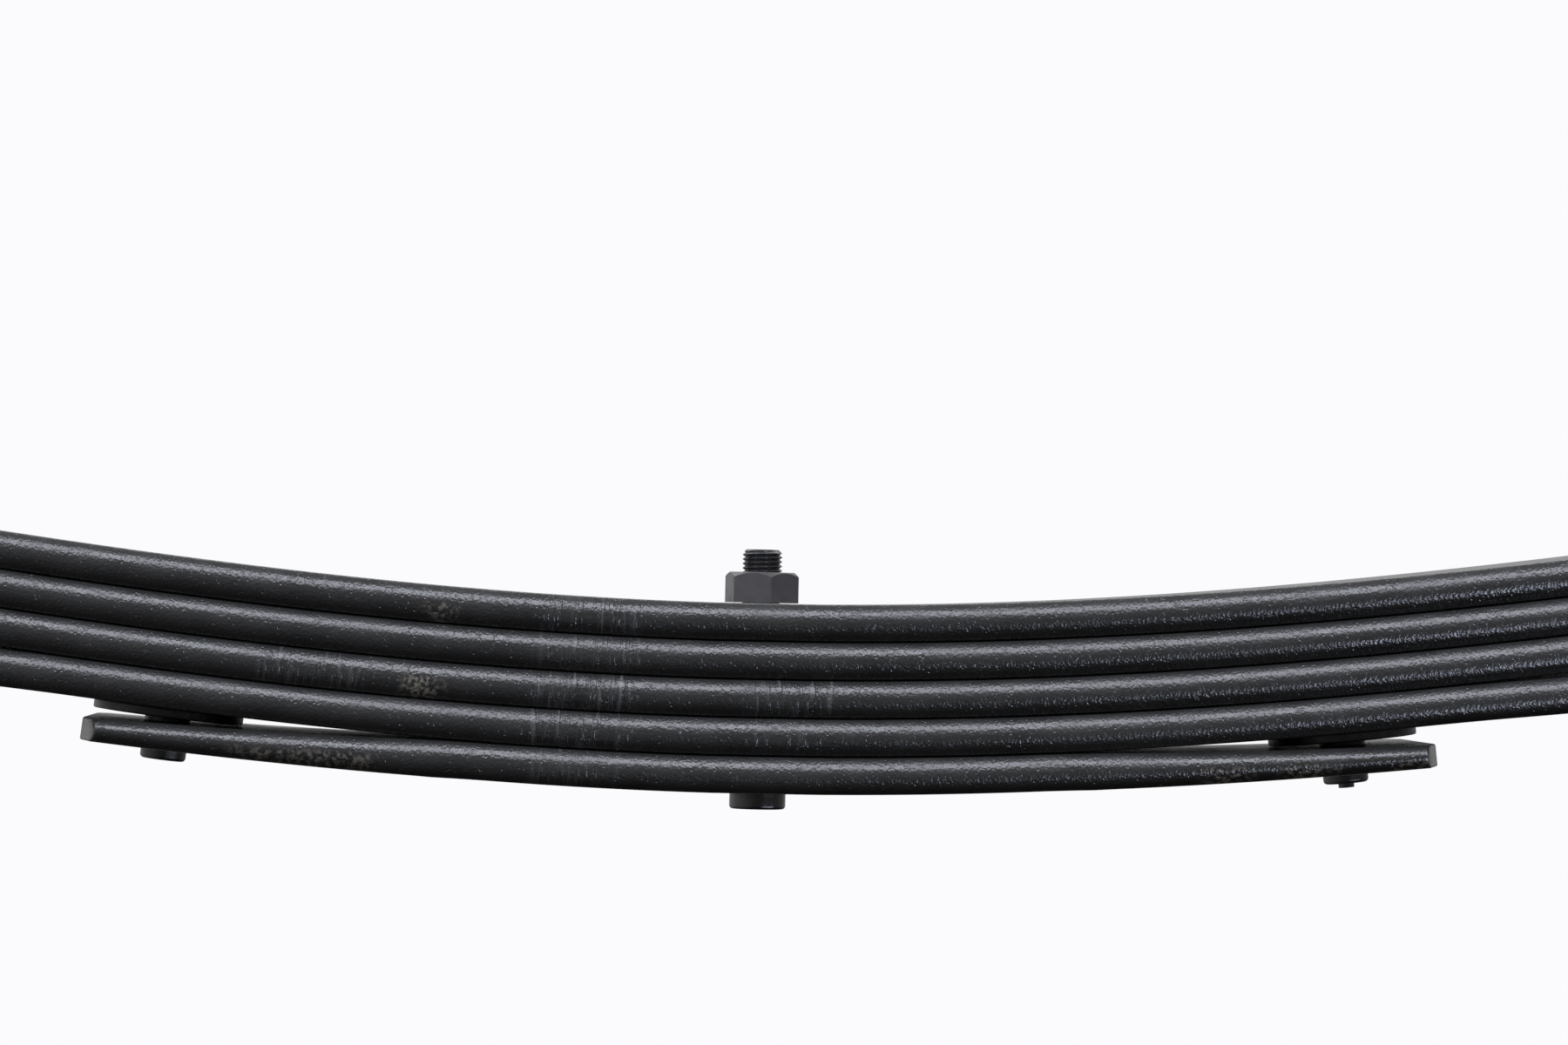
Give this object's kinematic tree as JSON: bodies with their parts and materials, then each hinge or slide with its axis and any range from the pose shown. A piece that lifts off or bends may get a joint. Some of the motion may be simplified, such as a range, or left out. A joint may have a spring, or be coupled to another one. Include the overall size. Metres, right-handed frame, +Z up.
{
  "type": "leaf spring",
  "caption": "Multi-leaf truck suspension spring with upturned bushed eyes, centre bolt, tip pads and rebound clips; its arms flatten under load.",
  "frame": {"origin": "on the centre bolt's axis, on the underside of the shortest leaf, where the stack seats on the axle", "axes": "+X along the spring to the front eye, +Y across the leaves to the left, +Z up out of the concave side"},
  "size_m": [1.2426, 0.0916, 0.2009],
  "materials": {
    "leaf_paint": "satin black chassis paint over shot-peened spring steel",
    "clip_paint": "satin black paint on mild steel strap",
    "bolt_oxide": "black phosphate under a thin coat of paint",
    "pad_nylon": "moulded black nylon, matt",
    "bushing_urethane": "moulded black polyurethane",
    "sleeve_zinc": "bright zinc plate on drawn tube"
  },
  "bodies": {
    "stack": {"main_leaf": "leaf_paint", "second_leaf": "leaf_paint", "third_leaf": "leaf_paint", "fourth_leaf": "leaf_paint", "short_leaf": "leaf_paint", "centre_bolt": "bolt_oxide", "centre_nut": "bolt_oxide"},
    "front_eye": {"front_eye_bushing_left": "bushing_urethane", "front_eye_bushing_right": "bushing_urethane"},
    "front_sleeve": {"front_eye_sleeve": "sleeve_zinc"},
    "front_third_leaf_pad": {"front_third_leaf_pad": "pad_nylon"},
    "front_fourth_leaf_pad": {"front_fourth_leaf_pad": "pad_nylon"},
    "front_short_leaf_pad": {"front_short_leaf_pad": "pad_nylon"},
    "front_inner_clip": {"front_inner_clip_strap": "clip_paint", "front_inner_clip_rivet": "clip_paint", "front_inner_clip_tube": "clip_paint", "front_inner_clip_bolt": "bolt_oxide", "front_inner_clip_nut": "bolt_oxide"},
    "front_outer_clip": {"front_outer_clip_strap": "clip_paint", "front_outer_clip_rivet": "clip_paint", "front_outer_clip_tube": "clip_paint", "front_outer_clip_bolt": "bolt_oxide", "front_outer_clip_nut": "bolt_oxide"},
    "rear_eye": {"rear_eye_bushing_left": "bushing_urethane", "rear_eye_bushing_right": "bushing_urethane"},
    "rear_sleeve": {"rear_eye_sleeve": "sleeve_zinc"},
    "rear_third_leaf_pad": {"rear_third_leaf_pad": "pad_nylon"},
    "rear_fourth_leaf_pad": {"rear_fourth_leaf_pad": "pad_nylon"},
    "rear_short_leaf_pad": {"rear_short_leaf_pad": "pad_nylon"},
    "rear_inner_clip": {"rear_inner_clip_strap": "clip_paint", "rear_inner_clip_rivet": "clip_paint", "rear_inner_clip_tube": "clip_paint", "rear_inner_clip_bolt": "bolt_oxide", "rear_inner_clip_nut": "bolt_oxide"},
    "rear_outer_clip": {"rear_outer_clip_strap": "clip_paint", "rear_outer_clip_rivet": "clip_paint", "rear_outer_clip_tube": "clip_paint", "rear_outer_clip_bolt": "bolt_oxide", "rear_outer_clip_nut": "bolt_oxide"}
  },
  "joints": [
    {"name": "front_arm_flex", "type": "hinge", "parent": "stack", "child": "front_eye", "pos_m": [0.06, 0, 0.024], "axis": [0, 1, 0], "range_deg": [0, 14], "stiffness_Nm_per_rad": 8400, "deforming": ["main_leaf", "second_leaf", "third_leaf", "fourth_leaf", "short_leaf"]},
    {"name": "front_sleeve_turn", "type": "hinge", "parent": "front_eye", "child": "front_sleeve", "pos_m": [0.58305, 0, 0.15827], "axis": [0, 1, 0], "range_deg": [-40, 40]},
    {"name": "front_third_leaf_pad_follow", "type": "hinge", "parent": "stack", "child": "front_third_leaf_pad", "pos_m": [0.24191, 0, 0.0519], "axis": [0, 1, 0], "range_deg": [0, 23.4]},
    {"name": "front_fourth_leaf_pad_follow", "type": "hinge", "parent": "stack", "child": "front_fourth_leaf_pad", "pos_m": [0.19191, 0, 0.03614], "axis": [0, 1, 0], "range_deg": [0, 14.9]},
    {"name": "front_short_leaf_pad_follow", "type": "hinge", "parent": "stack", "child": "front_short_leaf_pad", "pos_m": [0.11241, 0, 0.01868], "axis": [0, 1, 0], "range_deg": [0, 3]},
    {"name": "front_inner_clip_follow", "type": "hinge", "parent": "stack", "child": "front_inner_clip", "pos_m": [0.16684, 0, 0.03811], "axis": [0, 1, 0], "range_deg": [0, 10.5]},
    {"name": "front_outer_clip_follow", "type": "hinge", "parent": "stack", "child": "front_outer_clip", "pos_m": [0.22957, 0, 0.05186], "axis": [0, 1, 0], "range_deg": [0, 21.5]},
    {"name": "rear_arm_flex", "type": "hinge", "parent": "stack", "child": "rear_eye", "pos_m": [-0.06, 0, 0.024], "axis": [0, -1, 0], "range_deg": [0, 14], "stiffness_Nm_per_rad": 8400, "deforming": ["main_leaf", "second_leaf", "third_leaf", "fourth_leaf", "short_leaf"]},
    {"name": "rear_sleeve_turn", "type": "hinge", "parent": "rear_eye", "child": "rear_sleeve", "pos_m": [-0.58305, 0, 0.15827], "axis": [0, 1, 0], "range_deg": [-40, 40]},
    {"name": "rear_third_leaf_pad_follow", "type": "hinge", "parent": "stack", "child": "rear_third_leaf_pad", "pos_m": [-0.24191, 0, 0.0519], "axis": [0, -1, 0], "range_deg": [0, 23.4]},
    {"name": "rear_fourth_leaf_pad_follow", "type": "hinge", "parent": "stack", "child": "rear_fourth_leaf_pad", "pos_m": [-0.19191, 0, 0.03614], "axis": [0, -1, 0], "range_deg": [0, 14.9]},
    {"name": "rear_short_leaf_pad_follow", "type": "hinge", "parent": "stack", "child": "rear_short_leaf_pad", "pos_m": [-0.11241, 0, 0.01868], "axis": [0, -1, 0], "range_deg": [0, 3]},
    {"name": "rear_inner_clip_follow", "type": "hinge", "parent": "stack", "child": "rear_inner_clip", "pos_m": [-0.16684, 0, 0.03811], "axis": [0, -1, 0], "range_deg": [0, 10.5]},
    {"name": "rear_outer_clip_follow", "type": "hinge", "parent": "stack", "child": "rear_outer_clip", "pos_m": [-0.22957, 0, 0.05186], "axis": [0, -1, 0], "range_deg": [0, 21.5]}
  ],
  "couplings": [
    {"joint": "front_third_leaf_pad_follow", "follows": "front_arm_flex", "ratio": 1.6617},
    {"joint": "front_fourth_leaf_pad_follow", "follows": "front_arm_flex", "ratio": 1.0506},
    {"joint": "front_short_leaf_pad_follow", "follows": "front_arm_flex", "ratio": 0.20503},
    {"joint": "front_inner_clip_follow", "follows": "front_arm_flex", "ratio": 0.74192},
    {"joint": "front_outer_clip_follow", "follows": "front_arm_flex", "ratio": 1.5225},
    {"joint": "rear_third_leaf_pad_follow", "follows": "rear_arm_flex", "ratio": 1.6617},
    {"joint": "rear_fourth_leaf_pad_follow", "follows": "rear_arm_flex", "ratio": 1.0506},
    {"joint": "rear_short_leaf_pad_follow", "follows": "rear_arm_flex", "ratio": 0.20503},
    {"joint": "rear_inner_clip_follow", "follows": "rear_arm_flex", "ratio": 0.74192},
    {"joint": "rear_outer_clip_follow", "follows": "rear_arm_flex", "ratio": 1.5225}
  ]
}
